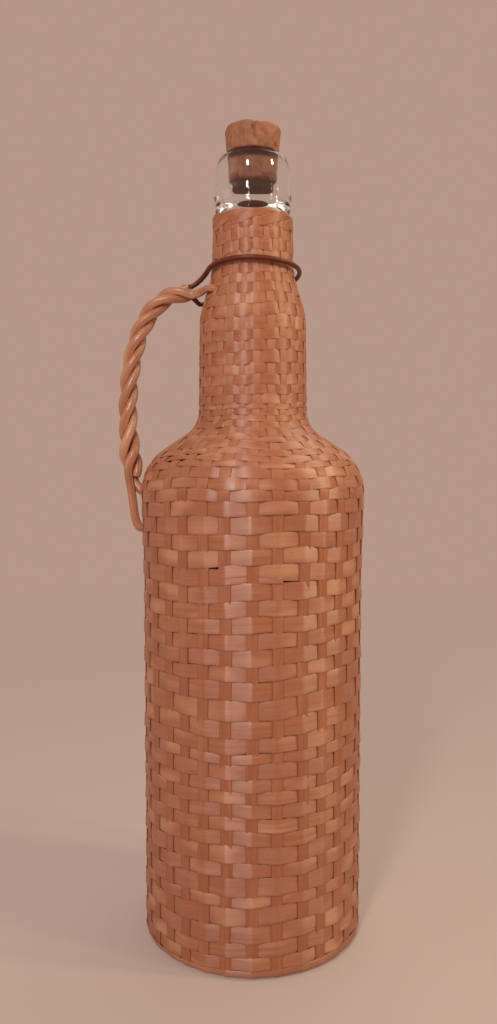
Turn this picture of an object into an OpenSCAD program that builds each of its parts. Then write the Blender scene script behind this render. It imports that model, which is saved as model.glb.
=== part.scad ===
// Wine flask: a round glass bottle in a woven splint jacket, with a cork and a twisted cane handle.
// Millimetres, +Z up. The origin is the middle of the foot, on the surface that the flask stands on.
// The handle is on the -X side. The front of the flask faces -Y.

/* [Jacket] */
// Radius over the weave, on the straight part of the body
body_r = 41.5; // [36:0.5:50]
// Height at which the straight part ends and the body starts to swell
straight_h = 128; // [90:1:150]
// Height over which the body swells, up to the start of the shoulder
swell_h = 38; // [20:1:60]
// How much wider the body is at the top of the swelling
swell = 0.7; // [0:0.1:2]
// Radius of the round turn at the top of the body
shoulder_turn_r = 20; // [14:0.5:24]
// Steepest lean of the shoulder away from upright, in degrees
shoulder_lean = 56; // [40:1:65]
// Radius of the hollow between the shoulder and the neck
hollow_r = 10; // [5:0.5:14]
// Radius over the weave at the root of the neck
neck_r = 20.6; // [18.5:0.1:23]
// Height of the full part of the neck
neck_h = 31.5; // [20:0.5:50]
// Radius over the weave at the top of the full part of the neck
neck_top_r = 20.2; // [18.5:0.1:22]
// Height over which the neck slims down to the throat
slim_h = 22; // [14:1:30]
// Radius over the weave at the bottom of the throat
throat_r = 15.6; // [15:0.1:17]
// Height of the throat, up to the top border
throat_h = 16.7; // [8:0.1:24]
// Radius over the weave at the top border
throat_top_r = 14.9; // [14.5:0.1:15.5]

/* [Weave] */
// Thickness of a row of weaving outside the stakes
weaver_t = 1.5; // [1:0.1:2]
// Depth of the groove between two rows
row_groove = 0.5; // [0.2:0.1:0.8]
// Rows of weaving on the body
body_rows = 31; // [20:1:40]
// Rows of weaving on the shoulder
shoulder_rows = 12; // [8:1:16]
// Rows of weaving on the neck and throat
neck_rows = 18; // [12:1:24]
// Number of stakes round the body
stakes = 31; // [21:2:41]
// Number of stakes that end under the weaving at the shoulder
short_stakes = 6; // [2:2:8]
// Width of a stake on the body
stake_w = 4; // [2:0.1:5]
// Width of a stake on the neck
stake_neck_w = 3; // [2:0.1:3.6]
// Thickness of a stake
stake_t = 0.6; // [0.4:0.1:1]
// Thickness of a stake on the neck, where it is pared down
stake_neck_t = 0.4; // [0.2:0.05:0.55]
// Gap between the weaving and the stakes
lay_gap = 0.15; // [0.1:0.05:0.3]
// Gap between the stakes and the glass
jacket_gap = 0.2; // [0.1:0.05:0.5]
// Thickness of the woven base
base_t = 1.9; // [1:0.1:4]
// Radius of the rolled rim round the foot
foot_roll_r = 1.5; // [1:0.1:2]
// Radius of the rolled border at the top
border_roll_r = 1.05; // [0.7:0.05:1.2]

/* [Glass] */
// Thickness of the glass in the body and neck
glass_t = 2.8; // [2:0.1:4]
// Radius of the rounded heel of the bottle
heel_r = 6; // [4:0.5:10]
// Height of the push-up in the bottom of the bottle
punt_h = 12; // [4:1:30]
// Outer radius of the lip
lip_r = 14.1; // [13:0.1:15]
// Height of the straight lip, up to its rounded top edge
lip_h = 12.2; // [8:0.1:20]
// Radius of the mouth's bore
mouth_r = 9; // [8:0.1:9.6]
// Outer radius of the bead under the lip
bead_r = 14.4; // [14:0.1:15.5]
// Height of that bead
bead_h = 3; // [2:0.1:4]
// Height of the groove under the bead
bead_groove_h = 1.2; // [0.8:0.1:3]
// Outer radius of the lower bead, just over the border
low_bead_r = 14.1; // [13.5:0.1:15]
// Height of the lower bead
low_bead_h = 2.6; // [2:0.1:4]

/* [Cork] */
// Clearance of the cork in the mouth
cork_gap = 0.15; // [0.1:0.05:0.3]
// Length of the cork inside the mouth
cork_in_h = 10.9; // [8:0.1:20]
// Height of the cork over the lip
cork_out_h = 11.1; // [5:0.1:16]
// How much wider the cork is at its head than at the lip
cork_flare = 1.45; // [0.5:0.05:2.5]
// How much the cork tapers inside the mouth
cork_taper = 0.3; // [0.1:0.05:0.6]
// Radius of the worn edge of the cork's head
cork_edge_r = 1.6; // [0.5:0.1:3]

/* [Handle] */
// Radius of one cane strand of the handle
strand_r = 1.62; // [1:0.02:1.7]
// Distance of each strand's middle from the middle of the rope
twist_r = 2; // [1.9:0.05:2.4]
// Length of rope in which a strand goes round once
twist_pitch = 27; // [20:1:40]
// Height of the rope's lower end over the start of the shoulder
handle_low_rise = 5.8; // [-15:0.1:15]
// How far the rope's middle stands out from the body at its lower end
handle_low_reach = 2.6; // [2.2:0.1:6]
// Distance from the throat to the rope's upper end
handle_top_reach = 7.8; // [6:0.1:14]
// Distance of the rope's upper end below the bottom of the throat
handle_top_drop = 9.5; // [2:0.1:14]
// How far the rope reaches out as it leaves its upper end
handle_crown_out = 27; // [14:0.5:30]
// How far the rope drops as it leaves its upper end
handle_crown_drop = 0; // [0:0.5:24]
// How far the rope bows out over its lower end
handle_bow_out = 3.6; // [1:0.1:10]
// Height over which that bow is pulled
handle_bow_h = 17.5; // [10:0.5:45]
// Length of the single cane that runs on down outside the weave
low_loop_h = 19.6; // [10:0.1:30]
// Radius of the thin cane round the neck
loop_r = 1.1; // [0.8:0.05:1.5]
// Distance of the front of that cane below the bottom of the throat
loop_front_drop = 0.2; // [0:0.1:6]
// How much lower it comes back on the handle's side
loop_fall = 13; // [6:0.5:16]
// Gap between the cane pieces and the weave that they lie on
cane_gap = 0.25; // [0.1:0.05:0.5]

/* [Hidden] */
$fn = 96;
lower_rows = body_rows + shoulder_rows;
rows = lower_rows + neck_rows;
body_splints = round(lower_rows / 4);
neck_splints = round(neck_rows / 6);
splints = body_splints + neck_splints;
long_stakes = stakes - short_stakes;

// Heights of the jacket, from the foot up
foot_h = 2 * foot_roll_r;
shoulder_z = straight_h + swell_h;
swollen_r = body_r + swell;
turn_h = shoulder_turn_r * sin(shoulder_lean);
turn_in = shoulder_turn_r * (1 - cos(shoulder_lean));
hollow_h = hollow_r * sin(shoulder_lean);
hollow_in = hollow_r * (1 - cos(shoulder_lean));
slope_in = swollen_r - turn_in - neck_r - hollow_in;
slope_h = slope_in / tan(shoulder_lean);
neck_z = shoulder_z + turn_h + slope_h + hollow_h;
slim_z = neck_z + neck_h;
throat_z = slim_z + slim_h;
weave_top_z = throat_z + throat_h;

// Lengths along the shoulder's outline
turn_len = shoulder_turn_r * shoulder_lean * PI / 180;
slope_len = slope_in / sin(shoulder_lean);
hollow_len = hollow_r * shoulder_lean * PI / 180;
shoulder_len = turn_len + slope_len + hollow_len;

// Depths below the outside of the weave
stake_out = weaver_t + lay_gap;
stake_in = stake_out + stake_t;
glass_out = stake_in + jacket_gap;
glass_in = glass_out + glass_t;

// Heights of the bottle's finish, from the weave's border up
border_z = weave_top_z + border_roll_r + 0.1;
low_bead_z = border_z + border_roll_r + 0.25;
bead_z = low_bead_z + low_bead_h + bead_groove_h;
lip_z = bead_z + bead_h;
lip_edge_r = 1.2;
lip_top_z = lip_z + lip_h + lip_edge_r;
glass_z = base_t + 0.1;
heel_out_r = body_r - glass_out;
bore_bottom_z = weave_top_z - 4;

function smooth(t) = (1 - cos(180 * min(max(t, 0), 1))) / 2;

// Radius over the weave on the body and on the neck, at a height
function body_radius(z) = body_r + swell * smooth((z - straight_h) / swell_h);
function neck_radius(z) =
    z < slim_z ? neck_r + (neck_top_r - neck_r) * (z - neck_z) / neck_h
    : z < throat_z ? neck_top_r + (throat_r - neck_top_r) * smooth((z - slim_z) / slim_h)
    : throat_r + (throat_top_r - throat_r) * (z - throat_z) / throat_h;

// Radius, height and lean of the outline at a distance along the shoulder
function shoulder_point(s) =
    s < turn_len
    ? let (a = s / shoulder_turn_r * 180 / PI)
      [swollen_r - shoulder_turn_r * (1 - cos(a)), shoulder_z + shoulder_turn_r * sin(a), a]
    : s < turn_len + slope_len
    ? let (d = s - turn_len)
      [swollen_r - turn_in - d * sin(shoulder_lean), shoulder_z + turn_h + d * cos(shoulder_lean),
       shoulder_lean]
    : let (a = max(0, (shoulder_len - s) / hollow_r * 180 / PI))
      [neck_r + hollow_r * (1 - cos(a)), neck_z - hollow_r * sin(a), a];

// Radius, height and lean of the outline at a count of rows from the bottom
function row_point(n) =
    n <= body_rows
    ? let (z = foot_h + (shoulder_z - foot_h) * n / body_rows) [body_radius(z), z, 0]
    : n < lower_rows
    ? shoulder_point(shoulder_len * (n - body_rows) / shoulder_rows)
    : let (z = neck_z + (weave_top_z - neck_z) * (n - lower_rows) / neck_rows)
      [neck_radius(z), z, z > slim_z && z < throat_z ? slim_lean(z) : 0];
function slim_lean(z) = atan((neck_radius(z - 0.5) - neck_radius(z + 0.5)) / 1);

// The same place, moved in from the outside of the weave by a depth
function depth_point(n, depth) =
    let (p = row_point(n)) [p[0] - depth * cos(p[2]), p[1] - depth * sin(p[2])];

// Rows at which the outline is broken into straight stretches, for all that lies under the weave
first_curved_row = 1 + floor(body_rows * (straight_h - foot_h) / (shoulder_z - foot_h));
break_rows = concat(
    [for (n = [first_curved_row : body_rows - 1]) n],
    [for (n = [body_rows : 0.5 : lower_rows - 0.5]) n],
    [for (n = [lower_rows : rows - 1]) n]
);
function depth_line(n0, n1, depth) =
    [for (n = concat([n0], [for (b = break_rows) if (b > n0 && b < n1) b], [n1])) depth_point(n, depth)];
function backwards(list) = [for (i = [len(list) - 1 : -1 : 0]) list[i]];

function arc_points(centre, r, a0, a1, steps) =
    [for (i = [0 : steps]) let (a = a0 + (a1 - a0) * i / steps) centre + r * [cos(a), sin(a)]];

// A row's outer outline: a groove at each edge and the full thickness in the middle
function row_outline(n) = [
    depth_point(n + 0.03, row_groove),
    depth_point(n + 0.2, row_groove * 0.25),
    depth_point(n + 0.5, 0),
    depth_point(n + 0.8, row_groove * 0.25),
    depth_point(n + 0.97, row_groove)
];

// First row of a splint. The last entry is the top of the weave.
function splint_row(i) =
    i < body_splints ? round(i * lower_rows / body_splints)
    : lower_rows + round((i - body_splints) * neck_rows / neck_splints);

module turned(points) {
    rotate_extrude() polygon(points);
}

// One long splint, wound round the stakes row by row
module weaver(i) {
    n0 = splint_row(i);
    n1 = splint_row(i + 1);
    outline = [for (n = [n0 : n1 - 1]) each row_outline(n)];
    color([0.69, 0.45, 0.34]) turned(concat(outline, backwards(depth_line(n0, n1, weaver_t))));
}

// A stake is a flat strip up the side. It shifts a little sideways at the shoulder,
// where fewer stakes go on up the narrow neck.
stake_cross_row = body_rows + round(shoulder_rows * 0.55);
stake_body_angle = stake_w / body_r * 180 / PI;
stake_neck_angle = stake_neck_w / (neck_r - stake_out) * 180 / PI;
short_every = stakes / short_stakes;
function is_short(i) =
    len([for (k = [0 : short_stakes - 1]) if (round((k + 0.5) * short_every) == i) 1]) > 0;
function long_before(i) = i == 0 ? 0 : long_before(i - 1) + (is_short(i - 1) ? 0 : 1);
stake_azimuth = -90.7;
neck_azimuth = stake_azimuth - 1;

module strip(n0, n1, azimuth, angle, thickness) {
    out = stake_out + (stake_t - thickness) / 2;
    line = concat(depth_line(n0, n1, out), backwards(depth_line(n0, n1, out + thickness)));
    rotate([0, 0, azimuth - angle / 2]) rotate_extrude(angle = angle) polygon(line);
}

module stake(i) {
    azimuth = stake_azimuth + 360 * i / stakes;
    color([0.58, 0.31, 0.2]) union() {
        if (is_short(i)) {
            strip(0, stake_cross_row - 1, azimuth, stake_body_angle, stake_t);
        } else {
            strip(0, stake_cross_row + 1.25, azimuth, stake_body_angle, stake_t);
            strip(stake_cross_row - 0.25, rows, neck_azimuth + 360 * long_before(i) / long_stakes,
                  stake_neck_angle, stake_neck_t);
        }
    }
}

// Woven base under the bottle
module woven_base() {
    color([0.6, 0.36, 0.24]) cylinder(r = body_r - 2 * foot_roll_r - 0.6, h = base_t);
}

// Rolled rim round the foot
module foot_rim() {
    color([0.72, 0.48, 0.36]) rotate_extrude()
        translate([body_r - 0.5 - foot_roll_r, foot_roll_r]) circle(r = foot_roll_r);
}

// Rolled border at the top of the weave
module top_border() {
    color([0.72, 0.48, 0.36]) rotate_extrude()
        translate([throat_top_r - border_roll_r, border_z]) circle(r = border_roll_r);
}

// The bottle, as one turned section with its hollow
heel_z = glass_z + heel_r;
stand_r = heel_out_r - heel_r;
punt_r = stand_r - 2;

function punt_points(lift) = [for (i = [0 : 8]) let (r = punt_r * i / 8)
    [r, glass_z + lift + punt_h * (1 - smooth(r / punt_r))]];

module glass_outline() {
    polygon(concat(
        punt_points(0),
        arc_points([stand_r, heel_z], heel_r, -90, 0, 6),
        depth_line(first_curved_row, rows, glass_out),
        [[throat_top_r - glass_out, low_bead_z], [low_bead_r - 0.6, low_bead_z + 0.3]],
        [[low_bead_r, low_bead_z + 0.9], [low_bead_r, low_bead_z + low_bead_h - 0.8]],
        [[low_bead_r - 0.6, bead_z - bead_groove_h], [low_bead_r - 0.6, bead_z]],
        arc_points([bead_r - 1, bead_z + 1], 1, -60, 0, 3),
        arc_points([bead_r - 1, lip_z - 1], 1, 0, 60, 3),
        [[lip_r, lip_z], [lip_r, lip_z + lip_h]],
        arc_points([lip_r - lip_edge_r, lip_top_z - lip_edge_r], lip_edge_r, 15, 90, 5),
        [[0, lip_top_z]]
    ));
}

module glass_hollow() {
    inner_heel_r = heel_r - glass_t;
    polygon(concat(
        punt_points(glass_t),
        arc_points([stand_r, heel_z], inner_heel_r, -90, 0, 5),
        [for (p = depth_line(first_curved_row, rows, glass_in)) if (p[1] < bore_bottom_z - 6) p],
        [[mouth_r, bore_bottom_z], [mouth_r, lip_top_z - 0.8], [mouth_r + 0.8, lip_top_z]],
        [[mouth_r + 0.8, lip_top_z + 1], [0, lip_top_z + 1]]
    ));
}

module glass_bottle() {
    color([0.82, 0.86, 0.84, 0.5]) rotate_extrude() difference() {
        glass_outline();
        glass_hollow();
    }
}

// The cork stands in the mouth, held where it tapers out over the lip
module cork() {
    seat_r = mouth_r - cork_gap;
    bottom_z = lip_top_z - cork_in_h;
    head_z = lip_top_z + cork_out_h;
    head_r = seat_r + cork_flare;
    color([0.63, 0.43, 0.32]) turned(concat(
        [[0, bottom_z], [seat_r - cork_taper, bottom_z], [seat_r, lip_top_z]],
        arc_points([head_r - cork_edge_r, head_z - cork_edge_r], cork_edge_r, 0, 90, 6),
        [[0, head_z]]
    ));
}

// Cane. A route is a list of points, and a tube is swept along it.
function bezier(p, steps) = [for (i = [0 : steps]) let (t = i / steps, u = 1 - t)
    u * u * u * p[0] + 3 * u * u * t * p[1] + 3 * u * t * t * p[2] + t * t * t * p[3]];
function tail(list) = [for (i = [1 : len(list) - 1]) list[i]];
function unit(v) = v / norm(v);
function along(route, i) =
    unit(route[min(i + 1, len(route) - 1)] - route[max(i - 1, 0)]);
function run(route, i) = i == 0 ? 0 : run(route, i - 1) + norm(route[i] - route[i - 1]);

module tube(route, r, side_ref, sides) {
    last = len(route) - 1;
    rings = [for (i = [0 : last])
        let (t = along(route, i), u = unit(cross(t, side_ref)), v = cross(t, u))
        for (k = [0 : sides - 1]) route[i] + r * (cos(360 * k / sides) * u + sin(360 * k / sides) * v)];
    walls = [for (i = [0 : last - 1]) for (k = [0 : sides - 1])
        let (a = i * sides + k, b = i * sides + (k + 1) % sides)
        each [[a, a + sides, b + sides], [a, b + sides, b]]];
    ends = [[for (k = [0 : sides - 1]) k], [for (k = [sides - 1 : -1 : 0]) last * sides + k]];
    polyhedron(rings, concat(walls, ends));
}

// Middle line of the rope, from its upper end down to the body
handle_low_z = shoulder_z + handle_low_rise;
rope_top = [-(throat_r + handle_top_reach), 0, throat_z - handle_top_drop];
rope_low = [-(swollen_r + handle_low_reach), 0, handle_low_z];
rope_line = bezier([
    rope_top,
    rope_top + [-handle_crown_out, 0, -handle_crown_drop],
    rope_low + [-handle_bow_out, 0, handle_bow_h],
    rope_low
], 36);
twist_start = 175;

function strand_point(k, i) =
    let (t = along(rope_line, i), n = [-t[2], 0, t[0]],
         a = twist_start + 120 * k - 360 * run(rope_line, i) / twist_pitch)
    rope_line[i] + twist_r * (cos(a) * n + sin(a) * [0, 1, 0]);
function strand_line(k) = [for (i = [0 : len(rope_line) - 1]) strand_point(k, i)];

// The first strand runs on down outside the weave and turns into it.
// The second strand starts at the neck, where its end is tucked into the weave.
low_end_z = handle_low_z - low_loop_h;
low_end = [-(body_radius(low_end_z) + cane_gap), 0, low_end_z];
function low_tail(p) = tail(bezier([
    p,
    p - [0, 0, 0.3 * low_loop_h],
    low_end - strand_r * [2.2, 0, 1.35],
    low_end
], 8));
tuck_z = throat_z - handle_top_drop;
tuck_azimuth = 216;
tuck_reach = neck_radius(tuck_z - strand_r) + strand_r + cane_gap;
tuck_end = tuck_reach * [cos(tuck_azimuth), sin(tuck_azimuth), 0] + [0, 0, tuck_z];
function top_tail(p) =
    let (way = 3.1 * strand_r * [sin(tuck_azimuth), -cos(tuck_azimuth), 0],
         line = bezier([tuck_end, tuck_end + way, p + [2.5 * strand_r, 0, 0], p], 6))
    [for (i = [0 : len(line) - 2]) line[i]];

module rope_strand(k) {
    line = strand_line(k);
    route = concat(k == 1 ? top_tail(line[0]) : [], line, k == 0 ? low_tail(line[len(line) - 1]) : []);
    color([0.6, 0.38, 0.27]) tube(route, strand_r, [0, 1, 0], 8);
}

// Thin cane round the neck. It leaves the rope, goes round the front, the right and the back,
// falling as it goes, and comes back to the rope.
loop_start = 192;
loop_sweep = 336;
loop_steps = 30;
function loop_height(t) = throat_z - loop_front_drop
    - loop_fall * (pow(max(0, t - 0.2) / 0.8, 1.8) + 0.17 * pow(max(0, 0.2 - t) / 0.2, 2));
function loop_radius(z) = neck_radius(z - loop_r) + loop_r + cane_gap;
function loop_point(t) =
    let (a = loop_start + loop_sweep * t, z = loop_height(t), r = loop_radius(z))
    [r * cos(a), r * sin(a), z];
function loop_lead(p, q, way) = bezier([p, p + loop_r * [3.6, 0, 2], q - 3.6 * loop_r * way, q], 4);

module neck_loop() {
    ring = [for (i = [0 : loop_steps]) loop_point(i / loop_steps)];
    lead_gap = loop_r * [0.45, 0, 0.32];
    first = loop_lead(strand_point(0, 0) + lead_gap, ring[0], unit(ring[1] - ring[0]));
    end = ring[loop_steps];
    final = loop_lead(strand_point(2, 0) + lead_gap, end, unit(ring[loop_steps - 1] - end));
    start = [for (i = [0 : 3]) first[i]];
    finish = tail(backwards(final));
    color([0.33, 0.16, 0.1]) tube(concat(start, ring, finish), loop_r, [0, 0, 1], 8);
}

function numbered(name, i) = str(name, "_", i < 9 ? "0" : "", i + 1);

glass_bottle();
cork();
woven_base();
foot_rim();
top_border();
neck_loop();
for (k = [0 : 2]) rope_strand(k);
for (i = [0 : splints - 1]) weaver(i);
for (i = [0 : stakes - 1]) stake(i);
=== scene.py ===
import math
import random

import bpy
import numpy as np
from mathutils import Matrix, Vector


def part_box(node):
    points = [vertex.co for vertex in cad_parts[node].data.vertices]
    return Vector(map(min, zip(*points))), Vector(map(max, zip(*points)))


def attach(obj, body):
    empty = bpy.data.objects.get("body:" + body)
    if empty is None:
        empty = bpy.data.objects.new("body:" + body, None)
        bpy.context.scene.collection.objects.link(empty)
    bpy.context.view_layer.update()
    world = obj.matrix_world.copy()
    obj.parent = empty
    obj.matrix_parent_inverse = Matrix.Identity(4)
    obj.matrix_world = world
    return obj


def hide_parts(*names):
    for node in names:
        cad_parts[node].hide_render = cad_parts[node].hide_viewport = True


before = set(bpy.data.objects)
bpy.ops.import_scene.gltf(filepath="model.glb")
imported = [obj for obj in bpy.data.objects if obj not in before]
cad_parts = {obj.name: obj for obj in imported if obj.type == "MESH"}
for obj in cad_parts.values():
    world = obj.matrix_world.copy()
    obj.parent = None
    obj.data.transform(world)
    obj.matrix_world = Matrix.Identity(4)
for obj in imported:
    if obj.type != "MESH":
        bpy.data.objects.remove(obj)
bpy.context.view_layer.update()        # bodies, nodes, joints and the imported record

mm = 0.001
random.seed(4)
rng = np.random.default_rng(4)
scene = bpy.context.scene


# Helpers for the shapes

def clearSelection():
    if bpy.context.mode != "OBJECT":
        bpy.ops.object.mode_set(mode="OBJECT")
    bpy.ops.object.select_all(action="DESELECT")


def smooth(t):
    t = np.clip(t, 0, 1)
    return (1 - np.cos(np.pi * t)) / 2


def wander(count, step, size):
    # a slow random walk between -size and size, with a new direction every few samples
    knots = rng.uniform(-size, size, int(count / step) + 3)
    x = np.linspace(0, len(knots) - 1.001, count)
    i = x.astype(int)
    f = smooth(x - i)
    return knots[i] * (1 - f) + knots[i + 1] * f


def nodeTop(node):
    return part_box(node)[1].z / mm


def nodeReach(node):
    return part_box(node)[1].x / mm


# Camera, where the photograph was taken from

photo = {"distance": 324.7, "side": -1.6, "height": 179.0, "tilt": 3.6, "lens": 30.2, "sensor": 36.0}

clearSelection()
bpy.ops.object.camera_add(
    location=(photo["side"] * mm, -photo["distance"] * mm, photo["height"] * mm),
    rotation=(math.radians(90 - photo["tilt"]), 0, 0))
camera = bpy.context.object
camera.data.lens = photo["lens"]
camera.data.sensor_width = photo["sensor"]
camera.data.sensor_fit = "AUTO"
camera.data.clip_start = 0.01
scene.camera = camera
print("camera stands at the photograph's place")


# Outline of the jacket, in millimetres

jacket = {
    "bodyR": nodeReach("weaver_01"),
    "straightTo": 128.0,
    "shoulderZ": 166.0,
    "swell": 0.7,
    "turnR": 20.0,
    "lean": 56.0,
    "hollowR": 10.0,
    "neckR": 20.6,
    "fullNeck": 31.5,
    "neckTopR": 20.2,
    "slim": 22.0,
    "throatR": 15.6,
    "topR": nodeReach("top_border"),
    "topZ": nodeTop("weaver_14"),
    "cornerR": 2.0,
}
swollenR = jacket["bodyR"] + jacket["swell"]
leanSin = math.sin(math.radians(jacket["lean"]))
leanCos = math.cos(math.radians(jacket["lean"]))
turnEndR = swollenR - jacket["turnR"] * (1 - leanCos)
turnEndZ = jacket["shoulderZ"] + jacket["turnR"] * leanSin
hollowStartR = jacket["neckR"] + jacket["hollowR"] * (1 - leanCos)
hollowStartZ = turnEndZ + (turnEndR - hollowStartR) * leanCos / leanSin
neckZ = hollowStartZ + jacket["hollowR"] * leanSin
slimZ = neckZ + jacket["fullNeck"]
throatZ = slimZ + jacket["slim"]


def radiusAt(z):
    body = jacket["bodyR"] + jacket["swell"] * smooth(
        (z - jacket["straightTo"]) / (jacket["shoulderZ"] - jacket["straightTo"]))
    turn = swollenR - jacket["turnR"] + np.sqrt(
        np.maximum(jacket["turnR"] ** 2 - (z - jacket["shoulderZ"]) ** 2, 0))
    slope = turnEndR - (z - turnEndZ) * leanSin / leanCos
    hollow = jacket["neckR"] + jacket["hollowR"] - np.sqrt(
        np.maximum(jacket["hollowR"] ** 2 - (neckZ - z) ** 2, 0))
    neck = jacket["neckR"] + (jacket["neckTopR"] - jacket["neckR"]) * (z - neckZ) / jacket["fullNeck"]
    slim = jacket["neckTopR"] + (jacket["throatR"] - jacket["neckTopR"]) * smooth((z - slimZ) / jacket["slim"])
    throat = jacket["throatR"] + (jacket["topR"] - jacket["throatR"]) * (z - throatZ) / (jacket["topZ"] - throatZ)
    return np.select(
        [z < jacket["shoulderZ"], z < turnEndZ, z < hollowStartZ, z < neckZ, z < slimZ, z < throatZ],
        [body, turn, slope, hollow, neck, slim], throat)


def outline(l):
    # l is the height up the side; under the corner it goes on round it and in under the base
    l = np.asarray(l, float)
    corner = jacket["cornerR"]
    r = radiusAt(l)
    dr = (radiusAt(l + 0.3) - radiusAt(l - 0.3)) / 0.6
    size = np.sqrt(1 + dr ** 2)
    under = corner - l
    a = np.clip(under / corner, 0, np.pi / 2)
    flat = np.maximum(under - corner * np.pi / 2, 0)
    cornerPoint = jacket["bodyR"] - corner + corner * np.cos(a) - flat
    below = l < corner
    return (np.where(below, cornerPoint, r), np.where(below, corner - corner * np.sin(a), l),
            np.where(below, np.cos(a), 1 / size), np.where(below, -np.sin(a), -dr / size))


def place(azimuth, l, depth):
    # azimuth 0 faces the front and grows to the right; depth is measured in from the outline
    r, z, nr, nz = outline(l)
    angle = np.radians(azimuth - 90)
    away = r - depth * nr
    return np.stack([away * np.cos(angle), away * np.sin(angle), z - depth * nz], -1)


# Meshes: a flat grid is added and wound into a closed strip or tube

def windGrid(name, rings, along, across):
    # rings has one closed ring of points for each place along the piece
    count, sides = rings.shape[:2]
    clearSelection()
    bpy.ops.mesh.primitive_grid_add(x_subdivisions=count - 1, y_subdivisions=sides, size=1)
    piece = bpy.context.object
    piece.name = name
    mesh = piece.data
    flat = np.zeros(len(mesh.vertices) * 3)
    mesh.vertices.foreach_get("co", flat)
    flat = flat.reshape(-1, 3)
    i = np.rint((flat[:, 0] + 0.5) * (count - 1)).astype(int)
    j = np.rint((flat[:, 1] + 0.5) * sides).astype(int)
    mesh.vertices.foreach_set("co", (rings[i, j % sides] * mm).ravel())
    corners = np.zeros(len(mesh.loops), int)
    mesh.loops.foreach_get("vertex_index", corners)
    uv = np.stack([along[i[corners]], across[j[corners]]], -1)
    mesh.uv_layers[0].name = "Lay"
    mesh.uv_layers[0].data.foreach_set("uv", uv.ravel())
    bpy.ops.object.mode_set(mode="EDIT")
    bpy.ops.mesh.select_all(action="SELECT")
    bpy.ops.mesh.remove_doubles(threshold=1e-7)
    bpy.ops.mesh.select_all(action="SELECT")
    bpy.ops.mesh.fill_holes(sides=0)
    bpy.ops.mesh.select_all(action="SELECT")
    bpy.ops.mesh.normals_make_consistent(inside=False)
    bpy.ops.object.mode_set(mode="OBJECT")
    bpy.ops.object.shade_smooth_by_angle(angle=math.radians(38))
    return piece


# Section of a splint: a flat strip with eased edges, as shares of its width and thickness
splintSection = np.array([
    (-0.5, -0.2), (-0.5, 0.22), (-0.465, 0.46), (-0.36, 0.5), (-0.12, 0.5), (0.12, 0.5),
    (0.36, 0.5), (0.465, 0.46), (0.5, 0.22), (0.5, -0.2), (0.45, -0.5), (-0.45, -0.5)])


def layStrip(name, azimuth, l, depth, width, thickness, tilt=0.0, crown=0.1, start=0.0):
    # winds a splint along a path on the jacket's outline
    r = outline(l)[0]
    da = np.gradient(np.radians(azimuth)) * np.maximum(r, 0.5)
    dl = np.gradient(l)
    step = np.sqrt(da ** 2 + dl ** 2) + 1e-9
    run = np.concatenate([[0], np.cumsum((step[1:] + step[:-1]) / 2)])
    width = np.broadcast_to(width, l.shape)
    tilt = np.broadcast_to(tilt, l.shape)
    rings = []
    for v, t in splintSection:
        sideways = v * width
        aside = azimuth - np.degrees(sideways * dl / step / np.maximum(r, 0.5))
        upward = l + sideways * da / step
        inward = depth - t * thickness - crown * (1 - 4 * v * v) + tilt * v
        rings.append(place(aside, upward, inward))
    across = np.append(splintSection[:, 0] + 0.5, splintSection[0, 0] + 0.5)
    across[-3:] = 1 - across[-3:] * 0.2
    return windGrid(name, np.stack(rings, 1), (start + run) * mm, across)


# Stakes: where they stand, and where six of them end on the shoulder

stake = {
    "count": 31,
    "short": 6,
    "width": 4.1,
    "neckWidth": 2.9,
    "thickness": 0.28,
    "first": -0.7,
    "neckFirst": 2.0,
    "gatherFrom": 33.0,
    "gatherTo": 44.0,
    "dropRow": 39,
    # how far the stakes seen in the photograph stand from an even spacing, in degrees
    "shift": {-3: -0.4, -2: -0.8, -1: -1.1, 0: 0.1, 1: 0.9, 2: 2.2, 3: 1.8, 4: 1.5, 5: 0.2, 6: 0.7},
    "neckShift": {-4: 3.4, -3: 5.0, -2: 3.0, -1: 1.4, 0: 1.6, 1: 2.6, 2: 2.0, 3: 1.0},
    # how wide those on the neck are, as a share of the usual width
    "neckShare": {-3: 1.0, -2: 1.02, -1: 0.7, 0: 1.0, 1: 1.12, 2: 0.9},
}
bodyStep = 360 / stake["count"]
neckCount = stake["count"] - stake["short"]
neckStep = 360 / neckCount
shortStakes = [round((k + 0.5) * stake["count"] / stake["short"]) for k in range(stake["short"])]
longStakes = [i for i in range(stake["count"]) if i not in shortStakes]
bodyAzimuth = []
for i in range(stake["count"]):
    seat = i if i <= stake["count"] // 2 else i - stake["count"]
    loose = stake["shift"].get(seat, rng.uniform(-0.9, 0.9))
    bodyAzimuth.append(stake["first"] + bodyStep * i + loose)
neckAzimuth = {}
neckWide = {}
for n, i in enumerate(longStakes):
    seat = n if n <= neckCount // 2 else n - neckCount
    loose = stake["neckShift"].get(seat, rng.uniform(-1.2, 1.2))
    neckAzimuth[i] = stake["neckFirst"] + neckStep * n + loose
    neckWide[i] = stake["neckShare"].get(seat, rng.uniform(0.75, 1.1))


def gathered(i):
    # how far the neck draws this stake sideways; a short one goes with its neighbours
    if i in neckAzimuth:
        return neckAzimuth[i] - bodyAzimuth[i]
    before = [k for k in longStakes if k < i][-1]
    after = [k for k in longStakes if k > i][0]
    return (neckAzimuth[before] - bodyAzimuth[before] + neckAzimuth[after] - bodyAzimuth[after]) / 2


pull = [gathered(i) for i in range(stake["count"])]


def stakeAt(i, turn):
    share = smooth((turn - stake["gatherFrom"]) / (stake["gatherTo"] - stake["gatherFrom"]))
    return bodyAzimuth[i] + pull[i] * share


# Rows: heights of their lower edges at the front, read off the photograph, in millimetres

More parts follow.
